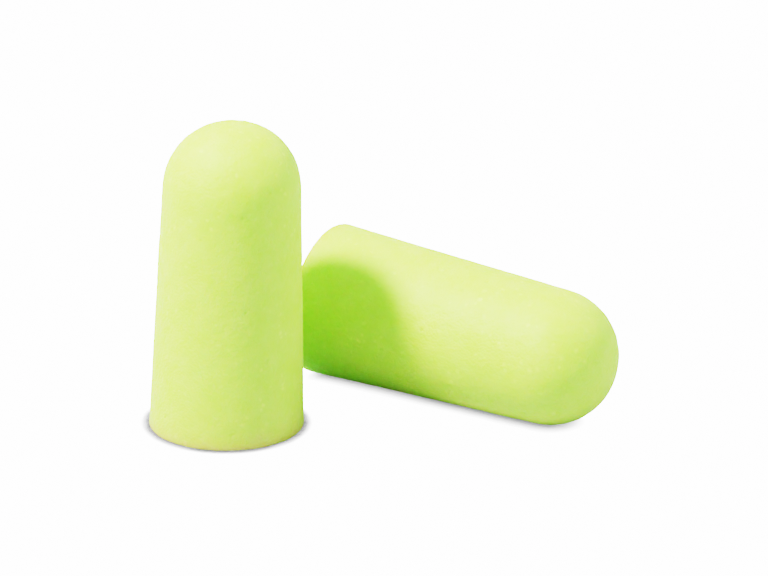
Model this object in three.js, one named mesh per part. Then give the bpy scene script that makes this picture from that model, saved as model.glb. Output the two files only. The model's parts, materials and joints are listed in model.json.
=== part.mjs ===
// A pair of uncorded foam ear plugs: one stands on its flat base end, the other lies on its flank.
// Millimetres, +Z up. The origin is the middle of the pair's footprint, on the surface they rest on.
// Each plug is one foam moulding with nothing inside, so each is one solid.
import * as THREE from "three";

// The plug's shape: a cone frustum with a round nose.
const BASE_DIAMETER = 12; // at the flat, trimmed end
const SHOULDER_DIAMETER = 10.65; // where the taper meets the nose
const NOSE_HEIGHT = 5.15;
const NOSE_FULLNESS = 2.14; // superellipse exponent of the nose: 2 is an ellipse, more is squarer
const TRIM_RADIUS = 0.1; // rounding of the base's rim, left by the trimming knife

// The two plugs differ a little in length, as foam cut to length does.
const UPRIGHT_LENGTH = 24.4;
const LYING_LENGTH = 25.4;

// The upright plug's base is cut a little off square, so its nose leans towards +X.
const UPRIGHT_LEAN = THREE.MathUtils.degToRad(1.2);

// Where the lying plug is: the middle of its base end, from the middle of the upright plug's base,
// and the compass direction of its nose, counted from +X towards +Y.
const LYING_OFFSET_X = 7.75;
const LYING_OFFSET_Y = 11.56;
const LYING_HEADING = THREE.MathUtils.degToRad(-31);

// How finely the surfaces are faceted.
const SIDES = 72;
const TRIM_STEPS = 3;
const NOSE_STEPS = 20;

const FOAM_COLOUR = 0xd4e987;

const baseRadius = BASE_DIAMETER / 2;
const shoulderRadius = SHOULDER_DIAMETER / 2;

// How fast the radius shrinks along the flank, from the top of the trimmed rim to the shoulder.
function taperOf(length) {
  return (baseRadius - shoulderRadius) / (length - NOSE_HEIGHT - TRIM_RADIUS);
}

// The rim between the base end and the flank, as a quarter circle.
function trimPoints() {
  const points = [];
  for (let i = 0; i <= TRIM_STEPS; i++) {
    const angle = ((Math.PI / 2) * i) / TRIM_STEPS;
    const radius = baseRadius - TRIM_RADIUS * (1 - Math.sin(angle));
    points.push(new THREE.Vector2(radius, TRIM_RADIUS * (1 - Math.cos(angle))));
  }
  return points;
}

// The nose, as a quarter superellipse whose radius goes on narrowing at the flank's rate.
function nosePoints(length) {
  const points = [];
  for (let i = 0; i < NOSE_STEPS; i++) {
    const angle = ((Math.PI / 2) * i) / NOSE_STEPS;
    const across = Math.cos(angle) ** (2 / NOSE_FULLNESS);
    const rise = NOSE_HEIGHT * Math.sin(angle) ** (2 / NOSE_FULLNESS);
    const radius = (shoulderRadius - taperOf(length) * rise) * across;
    points.push(new THREE.Vector2(radius, length - NOSE_HEIGHT + rise));
  }
  points.push(new THREE.Vector2(0, length));
  return points;
}

// A plug that stands on its base end at the origin, with its nose along +Z.
function plugGeometry(length) {
  const onAxis = new THREE.Vector2(0, 0);
  const profile = [onAxis, ...trimPoints(), ...nosePoints(length)];
  const geometry = new THREE.LatheGeometry(profile, SIDES);
  geometry.rotateX(Math.PI / 2);
  return geometry;
}

function foam() {
  return new THREE.MeshStandardMaterial({ color: FOAM_COLOUR, roughness: 0.9, metalness: 0 });
}

// A shear keeps the base end flat on the surface while the axis leans towards +X.
function uprightPlug() {
  const geometry = plugGeometry(UPRIGHT_LENGTH);
  geometry.applyMatrix4(new THREE.Matrix4().makeShear(0, 0, 0, 0, Math.tan(UPRIGHT_LEAN), 0));
  const plug = new THREE.Mesh(geometry, foam());
  plug.name = "upright_plug";
  return plug;
}

// A tapered plug rests along the lowest line of its flank, so its axis dips towards the nose.
function lyingPlug() {
  const dip = Math.atan(taperOf(LYING_LENGTH));
  const restHeight = baseRadius * Math.cos(dip) + TRIM_RADIUS * Math.sin(dip);
  const plug = new THREE.Mesh(plugGeometry(LYING_LENGTH), foam());
  plug.name = "lying_plug";
  plug.rotation.set(0, Math.PI / 2 + dip, LYING_HEADING, "ZYX");
  plug.position.set(LYING_OFFSET_X, LYING_OFFSET_Y, restHeight);
  return plug;
}

// Moves the pair so that the origin is the middle of its footprint.
function centred(pair) {
  const box = new THREE.Box3().setFromObject(pair, true);
  const middle = box.getCenter(new THREE.Vector3());
  pair.position.set(-middle.x, -middle.y, -box.min.z);
  return pair;
}

const earPlugs = new THREE.Group();
earPlugs.add(centred(new THREE.Group().add(uprightPlug(), lyingPlug())));

export default earPlugs;
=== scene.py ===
"""A pair of soft foam ear plugs, one standing and one lying, on a white studio table.

Each plug is one moulding of slow-recovery polyurethane foam. Its skin is almost smooth, with a fine
cobble of cells under it and a few pinholes, and its base end, where the foam was cut, is all open cells.
Metres, +Z up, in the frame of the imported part.
"""
import json
import math
import random

import bpy
import numpy as np
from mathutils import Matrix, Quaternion, Vector, kdtree, noise


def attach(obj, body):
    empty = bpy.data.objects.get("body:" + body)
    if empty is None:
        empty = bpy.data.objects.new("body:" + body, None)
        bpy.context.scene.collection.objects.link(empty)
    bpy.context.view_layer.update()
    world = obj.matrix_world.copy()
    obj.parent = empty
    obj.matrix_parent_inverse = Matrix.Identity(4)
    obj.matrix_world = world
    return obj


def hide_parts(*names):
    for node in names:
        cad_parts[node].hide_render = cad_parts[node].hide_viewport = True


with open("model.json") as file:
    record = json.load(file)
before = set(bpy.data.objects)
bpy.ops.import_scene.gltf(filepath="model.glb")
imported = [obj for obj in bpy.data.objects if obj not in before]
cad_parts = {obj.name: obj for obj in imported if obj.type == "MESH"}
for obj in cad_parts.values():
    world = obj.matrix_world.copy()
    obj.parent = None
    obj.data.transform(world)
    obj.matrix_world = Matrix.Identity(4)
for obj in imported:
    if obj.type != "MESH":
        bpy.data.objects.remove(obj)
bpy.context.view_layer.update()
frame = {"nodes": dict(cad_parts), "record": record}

MM = 0.001

# The plug's outline: a cone frustum with a trimmed rim at its base and a round nose.
BASE_RADIUS = 6.0 * MM
SHOULDER_RADIUS = 5.325 * MM
NOSE_HEIGHT = 5.15 * MM
NOSE_FULLNESS = 2.14  # superellipse exponent of the nose: 2 is an ellipse, more is squarer
TRIM_RADIUS = 0.10 * MM

# How finely the surface is meshed. Each end is a square grid bent into a disc, so its quads stay even.
GRID = 96  # quads along each side of an end's grid
SIDES = 4 * GRID
RIM_STEPS = 3
FLANK_STEPS = 160
POINT_SPACING = 2 * math.pi * BASE_RADIUS / SIDES

# Each plug, the mount that gives the place and direction of its base end, and the seed of its foam.
PLUGS = (
    ("upright_plug", "upright_plug_base", 11),
    ("lying_plug", "lying_plug_base", 23),
)

# The foam's relief: sizes across, and heights or depths.
SWELL_SIZE, SWELL_HEIGHT = 5.0 * MM, 0.035 * MM
RIPPLE_SIZE, RIPPLE_HEIGHT = 1.1 * MM, 0.014 * MM
CELL_SIZE, CELL_HEIGHT = 0.38 * MM, 0.022 * MM
PINHOLES, PINHOLE_RADII, PINHOLE_DEPTHS = 26, (0.10 * MM, 0.20 * MM), (0.03 * MM, 0.07 * MM)
OPEN_CELLS, OPEN_CELL_RADII, OPEN_CELL_DEPTHS = 1100, (0.13 * MM, 0.34 * MM), (0.04 * MM, 0.16 * MM)
FINE_CELL_SIZE, FINE_CELL_HEIGHT = 0.19 * MM, 0.032 * MM
NOISE_SHIFT = 50  # how far apart, in features, the two plugs' patches of the same noise may be

# The foam's looks.
FOAM_COLOUR = (0.525, 0.86, 0.125, 1)
BLOTCH_COLOUR = (0.55, 0.865, 0.143, 1)
BLOTCH_SIZE, BLOTCH_RANGE = 1.6 * MM, (0.35, 0.65)
SPECK_COLOUR = (0.64, 0.94, 0.18, 1)
SPECK_SPACING, SPECK_WARP = 0.6 * MM, 0.35 * MM
SPECK_FADE, SPECK_RANGE = 2.0, (0.0, 0.6)
SPECK_PATCH_SIZE, SPECK_PATCH_RANGE = 3.0 * MM, (0.42, 0.62)  # specks gather in patches
NOISE_DETAIL = 2.0
# Painted shade: pits are mixed towards this darker green by their depth.
PIT_SHADE_COLOUR = (0.38, 0.69, 0.06, 1)
FOAM_ROUGHNESS = 0.62
FOAM_SPECULAR = 0.5
SCATTERED = 0.7  # share of the light that goes into the foam
SCATTER_RADII = (1.0, 4.5, 0.3)  # mm, how far red, green and blue light travel in it

# Camera and light: a small key light from the upper left, inside a white tent whose sides
# are brighter than its front and back.
CAMERA_TARGET = Vector((-0.084, 0.0, 9.221)) * MM
CAMERA_DISTANCE = 433.9 * MM
CAMERA_ELEVATION = math.radians(20.70)
CAMERA_ROLL = math.radians(0.632)
CAMERA_LENS, SENSOR_WIDTH = 261.5, 36  # mm
CAMERA_CLIP = (0.05, 10)
KEY_PLACE = Vector((-225, -92, 351)) * MM
KEY_DIAMETER = 70 * MM
KEY_WATTS = 3.15
KEY_COLOUR = (1.03, 0.91, 0.90)
TENT_SIDES = ((180, 0.7), (0, 1.68), (90, 0.3))  # compass direction in degrees, brightness
TENT_SIDE_ELEVATION = math.radians(20)
TENT_FADE = 2  # power of the cosine by which a side fades away from its middle
TENT_FILL = 0.14
TABLE_COLOUR = (0.49, 0.53, 0.57, 1)
WHITE_SEEN = 9.0  # how bright the table and the tent are in the picture, where both are overexposed
PAINTED_CONTACT_SHADOW = 0.24  # and the painted contact shadow on the table where something touches it
CONTACT_REACH = 0.7 * MM
CONTACT_RAYS = 8
FLOOR_HALF_SIZE = 3.0

NODE_STEP = 200  # between one shader node and the next in the node editor


# ---------------------------------------------------------------- shape


def taper(length):
    """How fast the radius shrinks along the flank of a plug of this length."""
    return (BASE_RADIUS - SHOULDER_RADIUS) / (length - NOSE_HEIGHT - TRIM_RADIUS)


def rim_outline():
    """(radius, height) from the edge of the flat base end up to the bottom of the flank."""
    angles = np.linspace(0, math.pi / 2, RIM_STEPS + 1)
    radius = BASE_RADIUS - TRIM_RADIUS * (1 - np.sin(angles))
    return np.stack([radius, TRIM_RADIUS * (1 - np.cos(angles))], axis=1)


def flank_outline(length):
    """(radius, height) up the flank, without its first point, which is the rim's last."""
    heights = np.linspace(TRIM_RADIUS, length - NOSE_HEIGHT, FLANK_STEPS + 1)[1:]
    return np.stack([BASE_RADIUS - taper(length) * (heights - TRIM_RADIUS), heights], axis=1)


def nose_outline(length, share):
    """(radius, height) on the nose, where share runs from 0 at its tip to 1 at the shoulder."""
    angles = (1 - share) * math.pi / 2
    rise = NOSE_HEIGHT * np.sin(angles) ** (2 / NOSE_FULLNESS)
    across = np.clip(np.cos(angles), 0, 1) ** (2 / NOSE_FULLNESS)
    radius = (SHOULDER_RADIUS - taper(length) * rise) * across
    return np.stack([radius, length - NOSE_HEIGHT + rise], axis=-1)


def disc_grid():
    """For each point of a square grid bent into a disc: its share of the radius, and its angle."""
    steps = np.arange(GRID + 1) * 2 / GRID - 1
    u, v = np.meshgrid(steps, steps, indexing="ij")
    share = np.maximum(abs(u), abs(v))
    divisor = np.where(share > 0, share, 1)
    angle = np.where(
        abs(u) >= abs(v),
        np.where(u >= 0, 0, math.pi) + math.pi / 4 * v * np.sign(u) / divisor,
        np.where(v >= 0, math.pi / 2, -math.pi / 2) - math.pi / 4 * u * np.sign(v) / divisor,
    )
    return share, angle


def around(outline, angle):
    """The points at (radius, height) outline and at an angle round the axis."""
    radius, height, angle = np.broadcast_arrays(outline[..., 0], outline[..., 1], angle)
    return np.stack([radius * np.cos(angle), radius * np.sin(angle), height], axis=-1)


def plug_surface(length):
    """Points and quads of a smooth plug that stands on the origin with its nose along +Z."""
    wall_outline = np.concatenate([rim_outline(), flank_outline(length)])
    turn = np.arange(SIDES) * 2 * math.pi / SIDES
    ring = np.arange(len(wall_outline) * SIDES).reshape(-1, SIDES)
    after = np.roll(ring, -1, axis=1)
    points = [around(wall_outline[:, None], turn).reshape(-1, 3)]
    quads = [np.stack([ring[:-1], after[:-1], after[1:], ring[1:]], axis=2).reshape(-1, 4)]

    share, angle = disc_grid()
    inner = share < 1 - 0.5 / GRID  # the outermost points are the wall's own
    on_edge = np.round(angle / turn[1]).astype(int) % SIDES
    base = np.stack([share * (BASE_RADIUS - TRIM_RADIUS), 0 * share], axis=-1)
    for outline, edge, faces_up in ((base, ring[0], False), (nose_outline(length, share), ring[-1], True)):
        number = edge[on_edge]
        number[inner] = sum(map(len, points)) + np.arange(inner.sum())
        points.append(around(outline, angle)[inner])
        corners = [number[:-1, :-1], number[1:, :-1], number[1:, 1:], number[:-1, 1:]]
        quads.append(np.stack(corners if faces_up else corners[::-1], axis=2).reshape(-1, 4))
    return np.concatenate(points), np.concatenate(quads)


# ---------------------------------------------------------------- relief


def uneven(points, size, shift):
    """Smooth noise from about -1 to 1, with features of that size."""
    return np.array([noise.noise(Vector(p) + shift) for p in points / size])


def cobble(points, size, draw):
    """Rounded cells of about that size, 1 in their middles and lower towards the walls between them."""
    middles = draw.sample(range(len(points)), round(len(points) * (POINT_SPACING / size) ** 2))
    tree = kdtree.KDTree(len(middles))
    for i, middle in enumerate(middles):
        tree.insert(points[middle], i)
    tree.balance()
    distance = np.array([tree.find(p)[2] for p in points])
    return 1 - np.minimum(distance / size, 1) ** 2


def pits(points, middles, radii, depths, draw):
    """How far round-bottomed pits of a range of sizes lower each point."""
    total = np.zeros(len(points))
    for middle in middles:
        radius, depth = draw.uniform(*radii), draw.uniform(*depths)
        near = ((points - points[middle]) ** 2).sum(axis=1) / radius**2
        total = np.maximum(total, depth * np.clip(1 - near, 0, 1))
    return total


def foam_relief(points, seed):
    """For each point, how far it stands out from the smooth outline, and its pit's share of the deepest,
    which sets how much painted shade darkens it.
    """
    draw = random.Random(seed)
    shift = Vector([draw.uniform(-NOISE_SHIFT, NOISE_SHIFT) for _ in range(3)])
    on_cut = np.clip(1 - points[:, 2] / (TRIM_RADIUS / 2), 0, 1)
    skin = SWELL_HEIGHT * uneven(points, SWELL_SIZE, shift)
    skin += RIPPLE_HEIGHT * uneven(points, RIPPLE_SIZE, shift)
    skin += CELL_HEIGHT * (cobble(points, CELL_SIZE, draw) - 1)

    pinholes = draw.sample(np.flatnonzero(on_cut == 0).tolist(), PINHOLES)
    holes = pits(points, pinholes, PINHOLE_RADII, PINHOLE_DEPTHS, draw)
    cells = draw.sample(np.flatnonzero(on_cut == 1).tolist(), OPEN_CELLS)
    holes = np.maximum(holes, pits(points, cells, OPEN_CELL_RADII, OPEN_CELL_DEPTHS, draw) * on_cut)
    return skin * (1 - on_cut) - holes, holes / OPEN_CELL_DEPTHS[1]


# ---------------------------------------------------------------- shader nodes


def add_node(tree, kind, inputs, **properties):
    """A new shader node. Each of its inputs takes a value, or a link from another node's output."""
    made = tree.nodes.new(kind)
    made.location.x = NODE_STEP * len(tree.nodes)
    for name, value in properties.items():
        setattr(made, name, value)
    for name, value in inputs.items():
        if isinstance(value, bpy.types.NodeSocket):
            tree.links.new(value, made.inputs[name])
        else:
            made.inputs[name].default_value = value
    return made


def calculated(tree, operation, *values):
    """The output of a Math node."""
    return add_node(tree, "ShaderNodeMath", dict(enumerate(values)), operation=operation).outputs[0]


def ramp(tree, value, start, end):
    """0 up to the start and 1 from the end."""
    settings = {"Value": value, "From Min": start, "From Max": end}
    return add_node(tree, "ShaderNodeMapRange", settings).outputs["Result"]


def noise_at(tree, place, size):
    """The outputs of a Noise Texture with features of that size."""
    settings = {"Vector": place, "Scale": 1 / size, "Detail": NOISE_DETAIL}
    return add_node(tree, "ShaderNodeTexNoise", settings).outputs


def camera_ray(tree):
    """1 for what the camera sees directly, and 0 for the light that falls on other things."""
    return add_node(tree, "ShaderNodeLightPath", {}).outputs["Is Camera Ray"]


# ---------------------------------------------------------------- materials


def speck_amount(tree, place):
    """Pale, irregular specks of random strength: warped Voronoi dots, gathered in patches."""
    settings = {0: noise_at(tree, place, SPECK_SPACING)["Color"], 1: (SPECK_WARP,) * 3, 2: place}
    warped = add_node(tree, "ShaderNodeVectorMath", settings, operation="MULTIPLY_ADD").outputs["Vector"]
    settings = {"Vector": warped, "Scale": 1 / SPECK_SPACING}
    dots = add_node(tree, "ShaderNodeTexVoronoi", settings).outputs
    strength = calculated(tree, "MULTIPLY_ADD", dots["Distance"], -SPECK_FADE, dots["Color"])
    patches = ramp(tree, noise_at(tree, place, SPECK_PATCH_SIZE)["Fac"], *SPECK_PATCH_RANGE)
    return calculated(tree, "MULTIPLY", ramp(tree, strength, *SPECK_RANGE), patches)


def foam_material():
    """Neon foam: light goes deep into it, and its cells show as faint blotches and pale specks. Its pits
    are darkened by painted shade that deepens with their depth.
    """
    material = bpy.data.materials.new("neon_foam")
    material.use_nodes = True
    tree = material.node_tree
    shader = tree.nodes["Principled BSDF"]
    shader.inputs["Roughness"].default_value = FOAM_ROUGHNESS
    shader.inputs["Specular IOR Level"].default_value = FOAM_SPECULAR
    shader.inputs["Subsurface Weight"].default_value = SCATTERED
    shader.inputs["Subsurface Radius"].default_value = SCATTER_RADII
    shader.inputs["Subsurface Scale"].default_value = MM

    place = add_node(tree, "ShaderNodeTexCoord", {}).outputs["Object"]
    pit = add_node(tree, "ShaderNodeAttribute", {}, attribute_name="pit").outputs["Fac"]
    blotches = ramp(tree, noise_at(tree, place, BLOTCH_SIZE)["Fac"], *BLOTCH_RANGE)
    # The last layer is painted shade, which darkens each pit by its depth.
    layers = ((blotches, BLOTCH_COLOUR), (speck_amount(tree, place), SPECK_COLOUR), (pit, PIT_SHADE_COLOUR))
    colour = FOAM_COLOUR
    for amount, over in layers:
        settings = {"Fac": amount, "Color1": colour, "Color2": over}
        colour = add_node(tree, "ShaderNodeMixRGB", settings).outputs["Color"]
    tree.links.new(colour, shader.inputs["Base Color"])

    settings = {"Vector": place, "Scale": 1 / FINE_CELL_SIZE}
    cells = add_node(tree, "ShaderNodeTexVoronoi", settings, feature="SMOOTH_F1")
    settings = {"Height": cells.outputs["Distance"], "Distance": FINE_CELL_HEIGHT}
    bump = add_node(tree, "ShaderNodeBump", settings, invert=True)
    tree.links.new(bump.outputs["Normal"], shader.inputs["Normal"])
    return material


def open_share_beside(tree):
    """Of the rays that leave the table sideways, how many meet nothing near: 0.5 at a wall, 1 in the open.
    This sets the painted contact shadow.

    Each of four level directions is tried, and the most blocked one counts. Half of the rays around
    a level direction go under the table, where nothing blocks them.
    """
    least = 1.0
    for x, y in ((1, 0), (0, 1), (-1, 0), (0, -1)):
        level = add_node(tree, "ShaderNodeCombineXYZ", {"X": x, "Y": y}).outputs["Vector"]
        settings = {"Distance": CONTACT_REACH, "Normal": level}
        sideways = add_node(tree, "ShaderNodeAmbientOcclusion", settings, samples=CONTACT_RAYS)
        least = calculated(tree, "MINIMUM", sideways.outputs["AO"], least)
    return least


def table_material():
    """White and overexposed in the picture, with a thin painted contact shadow where something touches it:
    ambient occlusion dims the emission that the camera sees.
    """
    material = bpy.data.materials.new("white_table")
    material.use_nodes = True
    tree = material.node_tree
    tree.nodes.clear()
    # Painted contact shadow: the brightness the camera sees falls from the white level to the contact level
    # next to a wall.
    away = ramp(tree, open_share_beside(tree), 0.5, 1.0)
    growth = calculated(tree, "POWER", WHITE_SEEN / PAINTED_CONTACT_SHADOW, away)
    brightness = calculated(tree, "MULTIPLY", growth, PAINTED_CONTACT_SHADOW)
    shown = add_node(tree, "ShaderNodeEmission", {"Strength": brightness}).outputs["Emission"]
    matte = add_node(tree, "ShaderNodeBsdfDiffuse", {"Color": TABLE_COLOUR}).outputs["BSDF"]
    surface = add_node(tree, "ShaderNodeMixShader", {0: camera_ray(tree), 1: matte, 2: shown})
    add_node(tree, "ShaderNodeOutputMaterial", {"Surface": surface.outputs["Shader"]})
    return material


# ---------------------------------------------------------------- pieces


def base_of(mount_name):
    """The middle of a plug's base end, and two sideways directions and the axis towards its nose."""
    mount = next(m for m in frame["record"]["mounts"] if m["name"] == mount_name)
    axis = -Vector(mount["axis"])
    side = axis.orthogonal().normalized()
    return np.array(mount["pos_m"]), np.array([side, axis.cross(side), axis])


def make_plug(name, mount_name, seed, material):
    """The foam body that stands for one CAD plug, on the same base, axis, length and lean."""
    middle, axes = base_of(mount_name)
    corners = np.array([v.co for v in frame["nodes"][name].data.vertices]) - middle
    tip = corners[np.argmax(corners @ axes[2])]
    length = float(tip @ axes[2])
    lean = (tip - length * axes[2]) / length  # the nose's sideways shift, for each unit of height

    points, quads = plug_surface(length)
    mesh = bpy.data.meshes.new(name + "_foam")
    mesh.from_pydata(points.tolist(), [], quads.tolist())
    pit_depth = mesh.attributes.new("pit", "FLOAT", "POINT")
    outward = np.array([n.vector for n in mesh.vertex_normals])
    relief, pit = foam_relief(points, seed)
    pit_depth.data.foreach_set("value", pit.astype(np.float32))
    points = points + outward * relief[:, None]

    placed = middle + points @ axes + points[:, 2:] * lean
    placed[:, 2] = np.maximum(placed[:, 2], 0)  # soft foam lies flat on the table
    mesh.vertices.foreach_set("co", placed.astype(np.float32).ravel())
    mesh.shade_smooth()
    mesh.materials.append(material)
    mesh.update()

    piece = bpy.data.objects.new(name + "_foam", mesh)
    bpy.context.collection.objects.link(piece)
    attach(piece, name + "_body")
    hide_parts(name)


# ---------------------------------------------------------------- studio


def make_table():
    mesh = bpy.data.meshes.new("table_top")
    h = FLOOR_HALF_SIZE
    mesh.from_pydata([(-h, -h, 0), (h, -h, 0), (h, h, 0), (-h, h, 0)], [], [(0, 1, 2, 3)])
    mesh.materials.append(table_material())
    table = bpy.data.objects.new("table_top", mesh)
    bpy.context.collection.objects.link(table)


def make_key_light():
    lamp = bpy.data.lights.new("key", "AREA")
    lamp.shape = "DISK"
    lamp.size = KEY_DIAMETER
    lamp.energy = KEY_WATTS
    lamp.color = KEY_COLOUR
    key = bpy.data.objects.new("key", lamp)
    key.location = KEY_PLACE
    key.rotation_euler = (-KEY_PLACE).to_track_quat("-Z", "Y").to_euler()
    bpy.context.collection.objects.link(key)


def make_tent():
    """Light from the tent's sides, each fading away from its middle, and plain white to the camera."""
    world = bpy.data.worlds.new("tent")
    world.use_nodes = True
    tree = world.node_tree
    direction = add_node(tree, "ShaderNodeTexCoord", {}).outputs["Generated"]
    level, rise = math.cos(TENT_SIDE_ELEVATION), math.sin(TENT_SIDE_ELEVATION)
    light = TENT_FILL
    for compass, brightness in TENT_SIDES:
        angle = math.radians(compass)
        settings = {0: direction, 1: (math.cos(angle) * level, math.sin(angle) * level, rise)}
        facing = add_node(tree, "ShaderNodeVectorMath", settings, operation="DOT_PRODUCT").outputs["Value"]
        fade = calculated(tree, "POWER", calculated(tree, "MAXIMUM", facing, 0), TENT_FADE)
        light = calculated(tree, "MULTIPLY_ADD", fade, brightness, light)
    settings = {"Value": camera_ray(tree), "To Min": light, "To Max": WHITE_SEEN}
    shown = add_node(tree, "ShaderNodeMapRange", settings).outputs["Result"]
    background = tree.nodes["Background"]
    background.inputs["Color"].default_value = (1, 1, 1, 1)
    tree.links.new(shown, background.inputs["Strength"])
    bpy.context.scene.world = world


def make_camera():
    camera = bpy.data.cameras.new("camera")
    camera.lens = CAMERA_LENS
    camera.sensor_width = SENSOR_WIDTH
    camera.clip_start, camera.clip_end = CAMERA_CLIP
    back = Vector((0, -math.cos(CAMERA_ELEVATION), math.sin(CAMERA_ELEVATION)))
    placed = bpy.data.objects.new("camera", camera)
    placed.location = CAMERA_TARGET + CAMERA_DISTANCE * back
    placed.rotation_mode = "QUATERNION"
    placed.rotation_quaternion = (-back).to_track_quat("-Z", "Y") @ Quaternion((0, 0, 1), CAMERA_ROLL)
    bpy.context.collection.objects.link(placed)
    bpy.context.scene.camera = placed


make_camera()
make_key_light()
make_tent()
make_table()
foam = foam_material()
for name, mount_name, seed in PLUGS:
    make_plug(name, mount_name, seed, foam)

view = bpy.context.scene.view_settings
view.view_transform = "Filmic"
view.look = "Very High Contrast"
